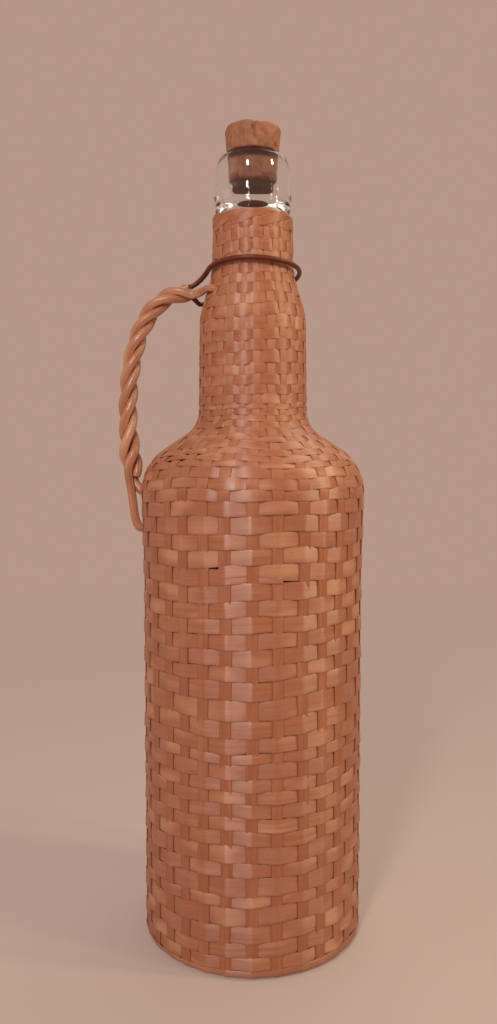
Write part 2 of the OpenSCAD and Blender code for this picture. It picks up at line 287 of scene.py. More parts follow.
rowEdges = [
    3.3, 7.9, 12.9, 19.0, 25.4, 29.2, 35.7, 40.7, 46.7, 51.7, 56.5, 61.4, 65.8, 70.3, 75.8, 79.3,
    84.8, 91.0, 97.9, 104.3, 109.3, 114.8, 120.0, 125.4, 130.8, 136.7, 142.7, 148.3, 153.5, 159.6,
    164.6, 168.5, 172.5, 176.2, 178.3, 180.7, 182.7, 185.5, 187.6, 190.2, 192.5, 194.5, 196.5, 198.3,
    201.7, 205.0, 208.7, 212.5, 217.1, 220.8, 224.6, 229.2, 233.8, 237.9, 241.7, 245.0, 248.3, 252.5,
    257.0, 261.2, 266.2]
weave = {
    "rows": len(rowEdges) - 1,
    "baseRows": 8,
    "baseRow": 4.5,
    "thickness": 0.28,
    "perCrossing": 12,
    "gap": 0.03,
    "neckGap": -0.3,
    "over": 0.52,
    "under": 1.24,
    "neckOver": 0.52,
    "neckUnder": 0.86,
    "stakeOver": 0.84,
    "stakeUnder": 0.92,
    "neckStakeOver": 0.5,
    "neckStakeUnder": 0.86,
    "ridge": 0.05,
    "neckRidge": 0.3,
}
edgeTurns = np.arange(-weave["baseRows"], weave["rows"] + 1)
edgeHeights = np.array([rowEdges[0] - weave["baseRow"] * n for n in range(weave["baseRows"], 0, -1)] + rowEdges)


def neckShare(l):
    return smooth((l - 184) / 14)


def flatShare(l):
    # from the shoulder up the weave lies flatter
    return smooth((l - 156) / 14)


def edgeAt(turn):
    # height of a row's lower edge; the rows rise and fall a little on their way round
    l = np.interp(turn, edgeTurns, edgeHeights)
    a = 2 * np.pi * turn
    sway = 0.45 * np.sin(3 * a + l / 19) + 0.3 * np.sin(5 * a - l / 11 + 1) + 0.22 * np.sin(9 * a + l / 7 + 2)
    calm = smooth((l - 4) / 12) * (1 - 0.4 * neckShare(l)) * smooth((265 - l) / 8)
    return l + sway * calm


def stakeTable(turn):
    # the stakes that stand in this row, in order round the bottle, as azimuths
    standing = range(stake["count"]) if turn < stake["dropRow"] else longStakes
    return [stakeAt(i, turn) for i in standing]


def crossingAt(turn):
    # counts crossings of the weaver along its spiral, with whole numbers at the stakes
    row = math.floor(turn)
    azimuth = 360 * (turn - row)
    table = stakeTable(turn)
    count = len(table)
    seats = [table[-1] - 360] + table + [table[0] + 360]
    return row * count + np.interp(azimuth, seats, np.arange(-1, count + 1))


def overShare(crossing, ridge, shift):
    # 1 where the weaver lies over a stake and -1 where it lies under one, with flat slopes between
    low = np.floor(crossing)
    x = crossing - low
    sign = np.where(low % 2 == 0, 1, -1)
    return sign * np.clip((0.5 + shift - x) / (0.5 - ridge), -1, 1)


# Splints: each is one long strip that starts and ends beside its neighbours

# Where the 14 splints start, in turns; the part behind the point says how far round to the right
footTurn = -0.5
splintStarts = [footTurn, 4.55, 8.36, 12.7, 16.31, 20.62, 24.955, 27.46, 31.66, 35.34, 39.57, 43.41, 49.6, 54.35]
splintStarts.append(weave["rows"])
splice = 2.6      # crossings over which a new splint lies on the end of the last one


def splintPath(first, last, steps):
    turn = np.linspace(first, last, steps)
    crossing = np.array([crossingAt(t) for t in turn])
    lower = edgeAt(turn)
    upper = edgeAt(turn + 1)
    return turn, crossing, lower, upper


def weaveSplint(name, first, last, start, startLap=True, endLap=True):
    perTurn = stake["count"] if first < stake["dropRow"] else neckCount
    lap = splice / perTurn
    t1 = last + (lap if endLap else 0)
    steps = int((t1 - first) * perTurn * weave["perCrossing"])
    turn, crossing, lower, upper = splintPath(first, t1, steps)
    l = (lower + upper) / 2
    neck = flatShare(l)
    ridge = weave["ridge"] + (weave["neckRidge"] - weave["ridge"]) * neck
    f = overShare(crossing, ridge, wander(steps, weave["perCrossing"], 0.07))
    if name == "corner_splint":
        # the last turn round the foot lies over every stake
        f = np.ones(steps)
    over = weave["over"] + (weave["neckOver"] - weave["over"]) * neck + wander(steps, 12, 0.1)
    under = weave["under"] + (weave["neckUnder"] - weave["under"]) * neck
    under = under - 0.25 * smooth((2 - l) / 6)
    depth = (over + under) / 2 - (under - over) / 2 * f
    # between two stakes a splint is drawn straight
    x = crossing - np.floor(crossing)
    depth = depth + (1 - 0.7 * neck) * outline(l)[0] * (2 * np.pi / perTurn) ** 2 * x * (1 - x) / 2
    gap = weave["gap"] + (weave["neckGap"] - weave["gap"]) * neck
    # on the shoulder more of the rows stand a little apart
    apart = smooth((l - 162) / 10) * smooth((202 - l) / 8)
    gap = gap + np.maximum(wander(steps, 23, 1.0) - 0.55 + 0.14 * apart, 0) * (1 + 0.6 * apart) + wander(steps, 5, 0.04)
    width = (upper - lower) * (1 + 0.02 * np.maximum(f, 0)) - gap + 0.05 * np.maximum(f, 0)
    l = l + wander(steps, 31, 0.07)
    tilt = 0.16 + wander(steps, 18, 0.16)
    # where two splints lap, each is narrower and the new one lies on top
    if startLap:
        lapped = 1 - smooth((turn - first) / lap - 0.4)
        depth = depth - 0.2 * lapped
        l = l + 0.2 * (upper - lower) * lapped
        width = width * (1 - 0.3 * lapped)
    if endLap:
        lapped = smooth((turn - last) / lap + 0.4)
        l = l - 0.2 * (upper - lower) * lapped
        width = width * (1 - 0.3 * lapped)
    return layStrip(name, 360 * turn, l, depth, width, weave["thickness"], tilt, 0.06, start)


splints = []
for n, (first, last) in enumerate(zip(splintStarts[:-1], splintStarts[1:])):
    piece = weaveSplint(f"splint_{n + 1:02d}", first, last, 900 * n, n > 0, last < weave["rows"])
    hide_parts(f"weaver_{n + 1:02d}")
    splints.append(piece)
baseSplint = weaveSplint("base_splint", -7.85, footTurn - 1, 20000, False, True)
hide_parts("woven_base")
cornerSplint = weaveSplint("corner_splint", footTurn - 1, footTurn, 22000, True, True)
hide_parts("foot_rim")
splints += [baseSplint, cornerSplint]
print("splints are wound:", len(splints))


def raiseStake(i):
    az = bodyAzimuth[i] / 360
    short = i in shortStakes
    last = stake["dropRow"] - 0.6 if short else weave["rows"] - 0.3
    steps = int((last + weave["baseRows"]) * 9)
    turn = np.linspace(-weave["baseRows"] + 0.3, last, steps)
    azimuth = stakeAt(i, turn)
    # the row that the stake crosses at each place, and whether it lies over the weaver there
    side = azimuth / 360
    row = np.floor(turn - side)
    inRow = turn - side - row
    l = edgeAt(row + side) * (1 - inRow) + edgeAt(row + side + 1) * inRow
    seat = longStakes.index(i) if i in longStakes else 0
    index = np.where(turn < stake["dropRow"], row * stake["count"] + i, row * neckCount + seat)
    plain = (row + side > footTurn - 1) & (row + side < footTurn)
    sign = np.where((index % 2 == 1) & ~plain, 1, -1)
    f = sign * np.sin(np.pi * inRow) ** 0.7
    neck = flatShare(l)
    over = weave["stakeOver"] + (weave["neckStakeOver"] - weave["stakeOver"]) * neck
    under = weave["stakeUnder"] + (weave["neckStakeUnder"] - weave["stakeUnder"]) * neck
    depth = (over + under) / 2 - (under - over) / 2 * f
    r = outline(l)[0]
    narrow = stake["neckWidth"] * neckWide.get(i, 0.9)
    width = stake["width"] + (narrow - stake["width"]) * smooth((l - 170) / 28)
    width = np.minimum(width, (0.52 + 0.22 * neck) * r * math.radians(bodyStep)) * (1 + wander(steps, 40, 0.05))
    azimuth = azimuth + wander(steps, 50, 0.5)
    return layStrip(f"stake_{i + 1:02d}_strip", azimuth, l, depth, width, stake["thickness"], 0.0, 0.05, 500 * i)


stakes = []
for i in range(stake["count"]):
    piece = raiseStake(i)
    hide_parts(f"stake_{i + 1:02d}")
    stakes.append(piece)
print("stakes stand:", len(stakes))


# Sweeps: cane and loose ends follow a path through space

def bezier(points, steps):
    p = [np.array(q, float) for q in points]
    t = np.linspace(0, 1, steps + 1)[:, None]
    u = 1 - t
    return u ** 3 * p[0] + 3 * u * u * t * p[1] + 3 * u * t * t * p[2] + t ** 3 * p[3]


def evenly(path, step):
    # the same path with a point at every step of its length
    size = np.linalg.norm(np.diff(path, axis=0), axis=1)
    run = np.concatenate([[0], np.cumsum(size)])
    count = max(int(run[-1] / step), 4)
    at = np.linspace(0, run[-1], count + 1)
    return np.stack([np.interp(at, run, path[:, k]) for k in range(3)], 1)


def eased(path, times):
    for _ in range(times):
        path = path.copy()
        path[1:-1] = (path[:-2] + 2 * path[1:-1] + path[2:]) / 4
    return path


def unit(v):
    return v / np.maximum(np.linalg.norm(v, axis=-1, keepdims=True), 1e-9)


def sweep(name, path, section, side, size=1.0, start=0.0):
    # section holds (sideways, outward) places in millimetres; side points along the section's first axis
    tangent = unit(np.gradient(path, axis=0))
    side = np.broadcast_to(np.asarray(side, float), path.shape)
    across = unit(side - (side * tangent).sum(1, keepdims=True) * tangent)
    out = np.cross(tangent, across)
    size = np.broadcast_to(size, len(path))
    rings = np.stack([path + (across * s + out * o) * size[:, None] for s, o in section], 1)
    run = np.concatenate([[0], np.cumsum(np.linalg.norm(np.diff(path, axis=0), axis=1))])
    return windGrid(name, rings, (start + run) * mm, np.linspace(0, 1, len(section) + 1))


# Border: every second stake end is bent over to the right, laid on the last rows and tucked in at the edge

border = {"ends": 9, "width": 3.3, "thickness": 0.3, "sweep": 58.0, "low": 262.7, "high": 266.2, "coreR": 0.85}
borderPieces = []
for n in range(border["ends"]):
    t = np.linspace(0, 1, 90)
    azimuth = 360 * n / border["ends"] + rng.uniform(-5, 5) + border["sweep"] * rng.uniform(0.85, 1.2) * t
    low = border["low"] + rng.uniform(-0.6, 0.6)
    high = border["high"] + rng.uniform(-0.3, 0.3)
    l = low + (high - low) * smooth(t * 1.1) ** 0.9
    depth = 0.9 - 0.62 * smooth(t * 10) + 0.5 * smooth((t - 0.6) / 0.36)
    width = border["width"] * (0.62 + 0.38 * smooth(t * 5)) * (1 - 0.3 * smooth((t - 0.8) / 0.2)) * rng.uniform(0.9, 1.1)
    piece = layStrip(f"border_end_{n + 1:02d}", azimuth, l, depth, width, border["thickness"], -0.25, 0.08, 300 * n)
    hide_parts("top_border")
    borderPieces.append(piece)
# the last end runs once round under the edge as its core
a = np.linspace(0, 2 * math.pi, 181)
coreR = jacket["topR"] - 1.35
core = np.stack([coreR * np.cos(a), coreR * np.sin(a), np.full(181, 266.9) + 0.12 * np.sin(3 * a)], 1)
turnC = np.linspace(0, 2 * math.pi, 11)[:-1]
piece = sweep("border_core", core, np.stack([np.cos(turnC), np.sin(turnC)], 1) * border["coreR"], (0, 0, 1), 1.0, 7000)
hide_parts("top_border")
borderPieces.append(piece)
print("border is laid:", len(borderPieces), "ends")


# Hub: strips cross in the middle of the base, under the first turns

hub = {"strips": 6, "pitch": 3.1, "width": 2.7, "reach": 10.5, "low": 0.75, "high": 1.35}
hubPieces = []
for way in range(2):
    for n in range(hub["strips"]):
        offset = (n - (hub["strips"] - 1) / 2) * hub["pitch"]
        half = math.sqrt(hub["reach"] ** 2 - offset ** 2)
        along = np.linspace(-half, half, 60)
        crossing = along / hub["pitch"] + (hub["strips"] - 1) / 2 + n + way
        height = (hub["low"] + hub["high"]) / 2 + (hub["high"] - hub["low"]) / 2 * np.cos(np.pi * crossing)
        height = np.where(np.abs(along) > 8.6, hub["high"], height)
        line = np.full(60, offset)
        path = np.stack([along, line, height] if way == 0 else [line, along, height], 1)
        piece = sweep(f"hub_strip_{way * hub['strips'] + n + 1:02d}", path,
                      splintSection * [hub["width"], 0.5], (0, 1, 0) if way == 0 else (1, 0, 0), 1.0, 400 * n)
        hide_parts("woven_base")
        hubPieces.append(piece)
print("hub is crossed")


# Handle: three canes twisted into a rope, with a thin dark cane round the neck

handle = {
    "strandR": 1.66, "twistR": 2.0, "pitch": 27.0, "start": 175.0,
    "crownOut": 27.0, "bowOut": 3.6, "bowH": 17.5, "topReach": 7.8, "topDrop": 9.5,
    "lowZ": 171.8, "lowReach": 2.6, "lowLoop": 19.6, "tuckDrop": 9.5, "tuckAt": 209.0,
    "loopR": 1.05, "loopStart": 192.0, "loopSweep": 336.0, "loopDrop": 0.2, "loopFall": 13.0,
}
ropeTop = np.array([-(jacket["throatR"] + handle["topReach"]), 0, throatZ - handle["topDrop"]])
ropeLow = np.array([-(swollenR + handle["lowReach"]), 0, handle["lowZ"]])
ropeLine = evenly(bezier([
    ropeTop, ropeTop + [-handle["crownOut"], 0, 0],
    ropeLow + [-handle["bowOut"], 0, handle["bowH"]], ropeLow], 200), 0.7)
ropeRun = np.concatenate([[0], np.cumsum(np.linalg.norm(np.diff(ropeLine, axis=0), axis=1))])
ropeWay = unit(np.gradient(ropeLine, axis=0))
ropeSide = np.stack([-ropeWay[:, 2], ropeWay[:, 1], ropeWay[:, 0]], 1)


def strandLine(k):
    # the strands lie closer in the upper part and part a little above the lower end
    share = ropeRun / ropeRun[-1]
    loose = 0.94 + 0.34 * smooth((share - 0.74) / 0.16) * (1 - smooth((share - 0.9) / 0.1))
    a = np.radians(handle["start"] + 120 * k - 360 * ropeRun / handle["pitch"] + 9 * np.sin(11 * share + 2 * k) * (1 - share))
    reach = (handle["twistR"] * loose)[:, None]
    return ropeLine + reach * (np.cos(a)[:, None] * ropeSide + np.sin(a)[:, None] * [0, 1, 0])


def join(*parts):
    return eased(evenly(np.concatenate(parts), 0.6), 6)


lowZ = handle["lowZ"] - handle["lowLoop"]
lowEnd = np.array([-(float(radiusAt(lowZ)) - 0.5), 0, lowZ])
tuckZ = throatZ - handle["tuckDrop"]
strand = [strandLine(k) for k in range(3)]

# the first strand runs on down outside the weave and turns into it
p = strand[0][-1]
strand[0] = join(strand[0], bezier([p, p + [1.8, 0, -8], lowEnd + [-3.9, 0, -0.9], lowEnd], 16)[1:])
# the second starts flat on the neck, where its end is tucked into the weave
a = math.radians(handle["tuckAt"])
outOf = np.array([math.cos(a), math.sin(a), 0])
way = np.array([math.sin(a), -math.cos(a), 0])
tuck = outOf * (float(radiusAt(tuckZ)) + handle["strandR"] * 0.7) + [0, 0, tuckZ]
deep = tuck - 2.2 * way - 3.0 * outOf + [0, 0, -0.3]
p = strand[1][0]
strand[1] = join(bezier([deep, deep + 0.6 * way + 1.6 * outOf, tuck - 1.3 * way, tuck], 6)[:-1],
                 bezier([tuck, tuck + 5 * way, p + [4, 0, 0], p], 12)[:-1], strand[1])
# the third turns into a hole in the weave at the rope's lower end
p = strand[2][-4]
holeZ = handle["lowZ"] - 6.0
hole = np.array([-(float(radiusAt(holeZ)) - 0.9), p[1] * 0.3, holeZ])
strand[2] = join(strand[2][:-4], bezier([p, p + [0.3, 0, -5.0], hole + [-2.4, 0, 2.4], hole], 12)[1:])

# Section of a split cane: round outside, a little flat where it was split
turnA = np.linspace(0, 2 * math.pi, 15)[:-1]
caneSection = np.stack([np.cos(turnA), np.sin(turnA) * np.where(np.sin(turnA) < 0, 0.9, 1.0)], 1)
flutes = np.linspace(0, 2 * math.pi, 25)[:-1]
strandSection = np.stack([np.cos(flutes), np.sin(flutes)], 1) * (1 + 0.06 * np.cos(6 * flutes) + 0.04 * np.cos(5 * flutes + 1))[:, None]
strandPieces = []
for k in range(3):
    swell = 1 + wander(len(strand[k]), 14, 0.07)
    ends = np.linspace(0, 1, len(strand[k]))
    swell *= 0.8 + 0.2 * smooth(np.minimum(ends, 1 - ends) * 60)
    if k == 1:
        swell *= 0.74 + 0.26 * smooth(ends * 9 - 0.4)
    piece = sweep(f"strand_{k + 1}_cane", strand[k], strandSection * handle["strandR"], (0, 1, 0), swell, 700 * k)
    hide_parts(f"handle_strand_{k + 1:02d}")
    strandPieces.append(piece)

t = np.linspace(0, 1, 160)
loopZ = throatZ - handle["loopDrop"] - handle["loopFall"] * (np.maximum(t - 0.2, 0) / 0.8) ** 1.8
loopZ -= 2.2 * (np.maximum(0.2 - t, 0) / 0.2) ** 2
loopA = np.radians(handle["loopStart"] + handle["loopSweep"] * t)
loopReach = radiusAt(loopZ - handle["loopR"]) + handle["loopR"] + 0.1 + 0.35 * smooth((t - 0.25) / 0.2) * smooth((0.75 - t) / 0.2)
ring = np.stack([loopReach * np.cos(loopA), loopReach * np.sin(loopA), loopZ], 1)
lead = strandLine(0)[0] + [0.3, 0, 0.1]
first = bezier([lead, lead + [2.2, -0.4, 0.6], ring[0] - 4 * unit(ring[1] - ring[0]), ring[0]], 12)
lead = strandLine(2)[0] + [0.3, 0, -0.1]
last = bezier([ring[-1], ring[-1] + 4 * unit(ring[-1] - ring[-2]), lead + [2.4, 0, -1.0], lead], 12)
ringPath = join(first[:-1], ring, last[1:])
neckCane = sweep("neck_cane", ringPath, caneSection * handle["loopR"], (0, 0, 1),
                 0.88 + wander(len(ringPath), 10, 0.07), 5000)
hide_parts("neck_loop")
print("handle is twisted and tied")


# Turned pieces: a line of points is drawn by extruding a corner, and spun round

def turnProfile(name, points, steps, closed):
    clearSelection()
    bpy.ops.mesh.primitive_plane_add(size=mm, location=(points[0][0] * mm, 0, points[0][1] * mm))
    piece = bpy.context.object
    piece.name = name
    bpy.ops.object.mode_set(mode="EDIT")
    bpy.ops.mesh.select_all(action="SELECT")
    bpy.ops.mesh.merge(type="CENTER")
    for a, b in zip(points[:-1], points[1:]):
        step = ((b[0] - a[0]) * mm, 0, (b[1] - a[1]) * mm)
        bpy.ops.mesh.extrude_region_move(TRANSFORM_OT_translate={"value": step})
    bpy.ops.mesh.select_all(action="SELECT")
    bpy.ops.mesh.spin(steps=steps, angle=2 * math.pi, center=(0, 0, 0), axis=(0, 0, 1))
    bpy.ops.mesh.select_all(action="SELECT")
    bpy.ops.mesh.remove_doubles(threshold=2e-6)
    bpy.ops.mesh.select_all(action="SELECT")
    bpy.ops.mesh.normals_make_consistent(inside=False)
    bpy.ops.object.mode_set(mode="OBJECT")
    bpy.ops.object.transform_apply(location=True, rotation=True, scale=True)
    bpy.ops.object.shade_smooth_by_angle(angle=math.radians(50))
    return piece


def arc(centre, r, a0, a1, steps):
    return [(centre[0] + r * math.cos(math.radians(a)), centre[1] + r * math.sin(math.radians(a)))
            for a in np.linspace(a0, a1, steps + 1)]


# Glass: push-up, body, shoulder and neck under the weave, then two beads and a straight lip

glass = {
    "depth": 2.45, "wall": 2.8, "heelR": 6.0, "pushUp": 12.0, "standZ": 2.0,
    "lowBead": (14.1, 269.17, 271.77), "groove": (13.5, 272.97), "bead": (14.4, 272.97, 275.97),
    "lip": (14.1, 275.97, 289.37), "bore": 9.0, "boreFrom": 262.7,
}


def glassSide(depth, low, high, count):
    return [(float(r - depth * nr), float(z - depth * nz))
            for r, z, nr, nz in zip(*outline(np.linspace(low, high, count)))]


def pushUp(lift):
    standR = jacket["bodyR"] - glass["depth"] - glass["heelR"]
    r = np.linspace(0, standR - 2, 14)
    return [(float(x), float(glass["standZ"] + lift + glass["pushUp"] * (1 - smooth(x / (standR - 2))))) for x in r]


heel = (jacket["bodyR"] - glass["depth"] - glass["heelR"], glass["standZ"] + glass["heelR"])
outer = pushUp(0) + arc(heel, glass["heelR"], -90, 0, 8)
outer += glassSide(glass["depth"], 12, 266.0, 110)
finishLine = [
    (12.50, 267.2), (12.75, 268.2), (13.35, 269.0), (13.82, 269.7), (14.0, 270.5), (13.96, 271.2), (13.84, 271.9),
    (13.82, 272.5), (13.94, 273.1), (14.14, 273.7), (14.30, 274.3), (14.36, 274.9), (14.31, 275.6), (14.2, 276.4),
    (14.11, 277.3), (14.04, 278.4), (13.99, 279.6), (13.92, 281.0), (13.82, 282.4), (13.68, 283.8), (13.50, 285.2),
    (13.28, 286.4), (12.94, 287.5), (12.44, 288.4), (11.80, 288.95), (11.1, 289.25), (10.55, 289.33)]
outer += finishLine
lipTop = glass["lip"][2]
inner = [(10.2, 289.2), (9.95, 288.8), (9.7, 288.2), (9.4, 287.3), (9.15, 286.2), (9.03, 284.9)]
inner += [(glass["bore"], lipTop - 6), (glass["bore"], lipTop - 12), (glass["bore"], 270), (glass["bore"], 264)]
inner += [(9.05, 260.5), (9.3, 257.5), (9.65, 254.8)]
inner += glassSide(glass["depth"] + glass["wall"], 250, 14, 98)
inner += arc(heel, glass["heelR"] - glass["wall"], 0, -90, 6)
inner += pushUp(glass["wall"])[::-1]
bottle = turnProfile("bottle", outer + inner, 128, True)
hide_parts("glass_bottle")


# Cork: pushed in, swollen over the lip, with pores, a long crack and a knot

corkShape = {
    "bottom": 278.5, "top": 300.4, "seatR": 8.85, "lowR": 8.75, "headR": 10.2, "edge": 1.9,
    "pores": 170, "crackAt": 3.0, "crackWidth": 0.55, "crackDepth": 1.1,
}
c = corkShape
side = [(c["lowR"] - 0.8, c["bottom"]), (c["lowR"] - 0.2, c["bottom"] + 0.5)]
side += [(c["lowR"] + (c["seatR"] - c["lowR"]) * x, c["bottom"] + 1.2 + (286.7 - c["bottom"]) * x)
         for x in np.linspace(0, 1, 34)]
side += [(c["seatR"] + 0.6 * x, 287.9 + 2.6 * x) for x in np.linspace(0, 1, 9)]
side += [(c["seatR"] + 0.6 + (c["headR"] - c["seatR"] - 0.6) * x ** 0.75, 290.8 + (c["top"] - c["edge"] - 290.8) * x)
         for x in np.linspace(0, 1, 30)]
side += arc((c["headR"] - c["edge"], c["top"] - c["edge"]), c["edge"], 12, 90, 8)
lid = [(x, c["top"]) for x in np.linspace(c["headR"] - c["edge"] - 0.4, 0, 24)]
floorOfCork = [(x, c["bottom"]) for x in np.linspace(0, c["lowR"] - 1.2, 20)]
cork = turnProfile("cork_plug", floorOfCork + side + lid, 200, True)
co = np.zeros(len(cork.data.vertices) * 3)
cork.data.vertices.foreach_get("co", co)
co = co.reshape(-1, 3) / mm
aim = np.degrees(np.arctan2(co[:, 1], co[:, 0])) + 90
aim = (aim + 180) % 360 - 180
radial = np.hypot(co[:, 0], co[:, 1])
onSide = radial > 0.86 * np.where(co[:, 2] > 289, c["headR"] * 0.9, c["lowR"])
dent = np.zeros(len(co))
for n in range(corkShape["pores"]):
    at = rng.uniform(-180, 180), rng.uniform(c["bottom"], c["top"])
    reach = rng.uniform(0.25, 0.7), rng.uniform(0.3, 1.3)
    far = np.hypot(((aim - at[0] + 180) % 360 - 180) * 0.165 / reach[0], (co[:, 2] - at[1]) / reach[1])
    dent += rng.uniform(0.1, 0.32) * np.exp(-far ** 2 * 1.5)
crackLine = corkShape["crackAt"] + 2.2 * np.sin(co[:, 2] * 0.8) + 1.2 * np.sin(co[:, 2] * 2.3)
crack = np.exp(-((aim - crackLine) * 0.17 / corkShape["crackWidth"]) ** 2 * 2)
dent += corkShape["crackDepth"] * crack * smooth((co[:, 2] - 292.5) / 2.0)
knot = np.hypot((aim - 62) * 0.17 / 1.1, (co[:, 2] - 292.4) / 1.3)
dent += 1.0 * np.exp(-knot ** 2)
dent += 0.10 * np.sin(aim * 0.11 + co[:, 2] * 0.5) * np.sin(co[:, 2] * 0.9 + aim * 0.06)
dent += 0.12 * np.sin(aim * 0.23 + 1) * np.sin(co[:, 2] * 1.7 - aim * 0.09) * (co[:, 2] > 289)
lidDent = np.zeros(len(co))
for n in range(50):
    at = rng.uniform(-9, 9, 2)
    lidDent += rng.uniform(0.15, 0.4) * np.exp(-np.sum((co[:, :2] - at) ** 2, 1) / rng.uniform(0.1, 0.4))
dent = np.where(onSide, np.minimum(dent, 1.3), 0)
co[:, :2] *= (1 - dent / np.maximum(radial, 4))[:, None]
lidWave = 0.22 + 0.2 * np.sin(aim * 0.05 + 0.6) + 0.12 * np.sin(aim * 0.13) + np.minimum(lidDent, 0.6)
co[:, 2] -= lidWave * smooth((co[:, 2] - c["top"] + 2.2) / 2)
cork.data.vertices.foreach_set("co", (co * mm).ravel())
cork.data.update()
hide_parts("cork")
print("bottle and cork are turned")


# Materials

class Field:
    # a socket that can be used in sums
    def __init__(self, tree, socket):
        self.tree = tree
        self.socket = socket

    def sum(self, operation, a, b):
        new = self.tree.nodes.new("ShaderNodeMath")
        new.operation = operation
        for place, value in zip(new.inputs, (a, b)):
            if isinstance(value, Field):
                self.tree.links.new(value.socket, place)
            else:
                place.default_value = value
        return Field(self.tree, new.outputs[0])

    def __add__(self, other):
        return self.sum("ADD", self, other)

    def __radd__(self, other):
        return self.sum("ADD", other, self)

    def __sub__(self, other):
        return self.sum("SUBTRACT", self, other)

    def __rsub__(self, other):
        return self.sum("SUBTRACT", other, self)

    def __mul__(self, other):
        return self.sum("MULTIPLY", self, other)

    def __rmul__(self, other):
        return self.sum("MULTIPLY", other, self)

    def __truediv__(self, other):
        return self.sum("DIVIDE", self, other)

    def __pow__(self, other):
        return self.sum("POWER", self, other)

    def __abs__(self):
        return self.sum("ABSOLUTE", self, 0)


def linear(rgb):
    # a colour written as 0 to 255, in the shader's own scale
    return tuple((c / 255 / 12.92) if c <= 10 else ((c / 255 + 0.055) / 1.055) ** 2.4 for c in rgb) + (1.0,)


class Finish:
    def __init__(self, name, **skin):
        self.material = bpy.data.materials.new(name)
        self.material.use_nodes = True
        self.tree = self.material.node_tree
        self.skin = self.tree.nodes["Principled BSDF"]
        for socket, value in skin.items():
            self.skin.inputs[socket.replace("_", " ")].default_value = value

    def node(self, kind, settings=None, inputs=None, output=0):
        new = self.tree.nodes.new(kind)
        for key, value in (settings or {}).items():
            if key == "stops":
                ramp = new.color_ramp.elements
                while len(ramp) < len(value):
                    ramp.new(1)
                for stop, (at, level) in zip(ramp, value):
                    stop.position = at
                    stop.color = (level, level, level, 1)
            else:
                setattr(new, key, value)
        for key, value in (inputs or {}).items():
            if isinstance(value, Field):
                self.tree.links.new(value.socket, new.inputs[key])
            else:
                new.inputs[key].default_value = value
        return Field(self.tree, new.outputs[output])

    def scaled(self, vector, x, y, z):
        return self.node("ShaderNodeVectorMath", {"operation": "MULTIPLY"}, {0: vector, 1: (x, y, z)})

    def noise(self, vector, scale=1.0, detail=2.0, rough=0.5):
        return self.node("ShaderNodeTexNoise", {"noise_dimensions": "3D"},
                         {"Vector": vector, "Scale": scale, "Detail": detail, "Roughness": rough})

    def ramp(self, value, *stops):
        return self.node("ShaderNodeValToRGB", {"stops": stops}, {0: value})

    def mix(self, share, a, b, blend="MIX"):
        inputs = {0: share, 6: a if isinstance(a, Field) else linear(a), 7: b if isinstance(b, Field) else linear(b)}
        return self.node("ShaderNodeMix", {"data_type": "RGBA", "blend_type": blend}, inputs, 2)

    def split(self, vector, axis):
        return self.node("ShaderNodeSeparateXYZ", None, {0: vector}, axis)

    def bump(self, height, strength, distance):
        return self.node("ShaderNodeBump", None, {"Strength": strength, "Distance": distance, "Height": height})

    def wear(self, **sockets):
        for socket, value in sockets.items():
            self.tree.links.new(value.socket, self.skin.inputs[socket.replace("_", " ")])
        return self.material


def splitWood(name, tones, grain, gloss):
    # split willow or cane: long fibres, slow changes of tone, darker edges, a few flecks
    f = Finish(name, **{"Specular_IOR_Level": gloss["specular"], "Coat_Weight": gloss["coat"], "Coat_Roughness": 0.28})
    lay = f.node("ShaderNodeUVMap", {"uv_map": "Lay"})
    across = f.split(lay, 1)
    fibre = f.noise(f.scaled(lay, grain["run"], grain["fine"], 0), 1, 3, 0.6)
    streak = f.noise(f.scaled(lay, grain["run"] * 0.4, grain["coarse"], 0), 1, 2, 0.55)
    patch = f.noise(f.scaled(lay, grain["patch"], 1.1, 0), 1, 1.5, 0.5)
    length = f.noise(f.scaled(lay, 1.3, 0, 0), 1, 1, 0.5)
    fleck = f.ramp(f.noise(f.scaled(lay, 210, 9, 0), 1, 1, 0.5), (0.70, 0), (0.80, 1))
    edge = f.ramp(abs(across - 0.5), (0.40, 0), (0.5, 1))
    colour = f.mix(f.ramp(streak, (0.32, 0), (0.68, 1)), tones["mid"], tones["light"])
    colour = f.mix(f.ramp(patch, (0.38, 0), (0.7, 1)) * 0.75, colour, tones["warm"])
    colour = f.mix(f.ramp(length, (0.4, 0), (0.62, 1)) * 0.5, colour, tones["rose"])
    bleached = f.noise(f.scaled(lay, grain["patch"] * 0.7, 0.7, 0), 1, 1, 0.5)
    colour = f.mix(f.ramp(bleached, (0.5, 0), (0.72, 1)) * 0.55, colour, tones["pale"])
    colour = f.mix(f.ramp(fibre, (0.28, 1), (0.5, 0)) * 0.22, colour, tones["dark"])
    colour = f.mix(fleck * 0.4, colour, tones["dark"])
    colour = f.mix(edge * 0.3, colour, tones["dark"])
    # the neck has been handled less and is duller
    high = f.split(f.node("ShaderNodeTexCoord", None, None, 3), 2)
    rough = gloss["rough"] + (f.ramp(streak, (0.3, 0), (0.7, 1)) - 0.5) * 0.16
    rough = rough + f.ramp((high - 0.17) / 0.03, (0, 0), (1, 1)) * gloss["dull"]
    height = fibre * 0.6 + streak * 0.4
    return f, lay, colour, rough, f.bump(height, grain["relief"], 0.0003)


